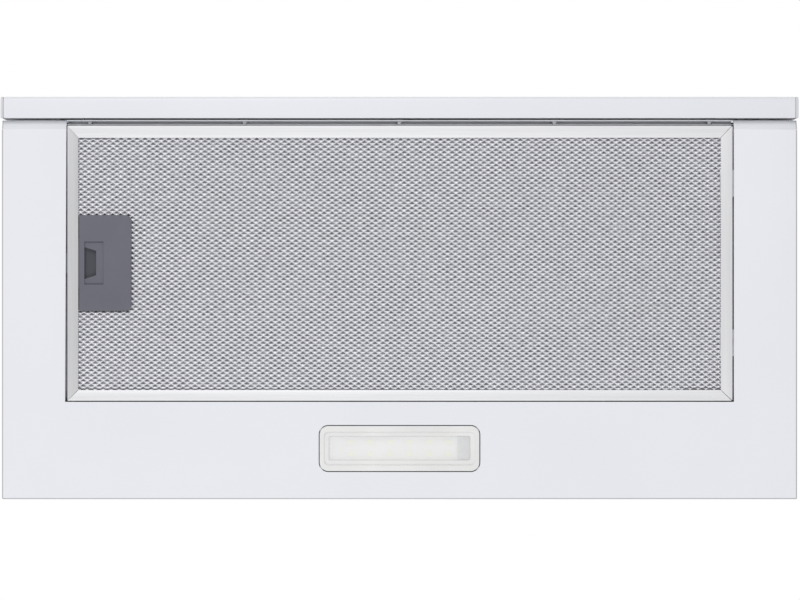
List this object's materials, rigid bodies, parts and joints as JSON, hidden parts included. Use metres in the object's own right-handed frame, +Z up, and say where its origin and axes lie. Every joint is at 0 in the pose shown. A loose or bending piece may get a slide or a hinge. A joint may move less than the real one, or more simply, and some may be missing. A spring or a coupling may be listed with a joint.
{
  "type": "under cabinet range hood",
  "caption": "Slim slide-out range hood with a shallow body, hinged mesh grease filter, lamp, blower and top duct collar.",
  "frame": {"origin": "centre of the rectangle of four cabinet screw holes, on the top face of the lower body that meets the cabinet", "axes": "+Z up, out of the mounting face into the cabinet; -Y towards the cook; +X to the right of a cook who faces the hood"},
  "size_m": [0.6, 0.3027, 0.203],
  "materials": {
    "white_paint": "smooth satin powder coat",
    "zinc_steel": "galvanised, dull",
    "bright_steel": "bright zinc",
    "anodised_aluminium": "satin",
    "mesh_aluminium": "bright expanded mesh",
    "foil_aluminium": "crumpled foil",
    "grey_plastic": "fine grain",
    "light_plastic": "smooth",
    "white_plastic": "smooth",
    "black_plastic": "fine grain",
    "diffuser": "frosted",
    "copper_and_iron": "laminated core",
    "circuit_board": "white mask",
    "lead_insulation": "smooth"
  },
  "bodies": {
    "chassis": {"bottom_pan": "white_paint", "mounting_frame": "zinc_steel", "inner_wall_left": "white_paint", "inner_wall_right": "white_paint", "upper_shell": "zinc_steel", "upper_side_left": "zinc_steel", "upper_side_right": "zinc_steel", "outlet_collar": "black_plastic", "flap_pin": "bright_steel", "volute_left": "black_plastic", "volute_right": "black_plastic", "motor_bracket": "zinc_steel", "motor_can": "zinc_steel", "stator_core": "copper_and_iron", "motor_bearings": "bright_steel", "capacitor": "white_plastic", "slide_outer_left": "bright_steel", "slide_outer_right": "bright_steel", "lamp_bezel": "white_plastic", "lamp_lens": "diffuser", "led_board": "circuit_board", "lamp_housing": "white_plastic", "led_driver": "white_plastic", "switch_block": "black_plastic", "reed_sensor": "grey_plastic", "terminal_box": "black_plastic", "terminal_lid": "black_plastic", "cable_gland": "black_plastic", "side_clips": "bright_steel", "housing_screws": "bright_steel", "wiring": "lead_insulation"},
    "drawer": {"drawer_frame": "white_paint", "drawer_front_rail": "white_paint", "drawer_cover": "white_paint", "drawer_filter_frame": "anodised_aluminium", "drawer_mesh": "mesh_aluminium", "drawer_magnet": "grey_plastic", "slide_inner_left": "bright_steel", "slide_inner_right": "bright_steel", "front_panel": "white_paint", "end_cap_left": "light_plastic", "end_cap_right": "light_plastic", "front_screws": "bright_steel"},
    "cage_left": {"ball_cage_left": "bright_steel"},
    "cage_right": {"ball_cage_right": "bright_steel"},
    "grease_filter": {"filter_frame": "anodised_aluminium", "filter_mesh": "mesh_aluminium", "filter_core": "foil_aluminium", "filter_tabs": "bright_steel", "latch_plate": "grey_plastic", "latch_spring": "bright_steel"},
    "latch": {"latch_slider": "grey_plastic"},
    "fan_rotor": {"motor_shaft": "bright_steel", "rotor_core": "bright_steel", "impeller": "black_plastic"},
    "front_flap": {"flap_front": "black_plastic"},
    "rear_flap": {"flap_rear": "black_plastic"},
    "light_button": {"button_light": "light_plastic"},
    "speed_1_button": {"button_speed_1": "light_plastic"},
    "speed_2_button": {"button_speed_2": "light_plastic"}
  },
  "joints": [
    {"name": "drawer_slide", "type": "slide", "parent": "chassis", "child": "drawer", "axis": [0, -1, 0], "range_m": [0, 0.155]},
    {"name": "cage_left_slide", "type": "slide", "parent": "chassis", "child": "cage_left", "axis": [0, -1, 0], "range_m": [0, 0.0775]},
    {"name": "cage_right_slide", "type": "slide", "parent": "chassis", "child": "cage_right", "axis": [0, -1, 0], "range_m": [0, 0.0775]},
    {"name": "filter_swing", "type": "hinge", "parent": "chassis", "child": "grease_filter", "pos_m": [0.2508, 0, -0.0387], "axis": [0, -1, 0], "range_deg": [0, 60]},
    {"name": "latch_slide", "type": "slide", "parent": "grease_filter", "child": "latch", "axis": [1, 0, 0], "range_m": [0, 0.0055], "stiffness_N_per_m": 400, "springref_m": -0.004, "deforming": ["latch_spring"]},
    {"name": "impeller_spin", "type": "hinge", "parent": "chassis", "child": "fan_rotor", "pos_m": [0, -0.014, 0.066], "axis": [1, 0, 0], "continuous": true},
    {"name": "flap_front_swing", "type": "hinge", "parent": "chassis", "child": "front_flap", "pos_m": [0, 0.022, 0.142], "axis": [-1, 0, 0], "range_deg": [0, 75]},
    {"name": "flap_rear_swing", "type": "hinge", "parent": "chassis", "child": "rear_flap", "pos_m": [0, 0.022, 0.142], "axis": [1, 0, 0], "range_deg": [0, 75]},
    {"name": "light_press", "type": "slide", "parent": "chassis", "child": "light_button", "axis": [0, 1, 0], "range_m": [0, 0.003], "stiffness_N_per_m": 300, "springref_m": -0.002},
    {"name": "speed_1_press", "type": "slide", "parent": "chassis", "child": "speed_1_button", "axis": [0, 1, 0], "range_m": [0, 0.003], "stiffness_N_per_m": 300, "springref_m": -0.002},
    {"name": "speed_2_press", "type": "slide", "parent": "chassis", "child": "speed_2_button", "axis": [0, 1, 0], "range_m": [0, 0.003], "stiffness_N_per_m": 300, "springref_m": -0.002}
  ],
  "couplings": [
    {"joint": "cage_left_slide", "follows": "drawer_slide", "ratio": 0.5},
    {"joint": "cage_right_slide", "follows": "drawer_slide", "ratio": 0.5}
  ]
}
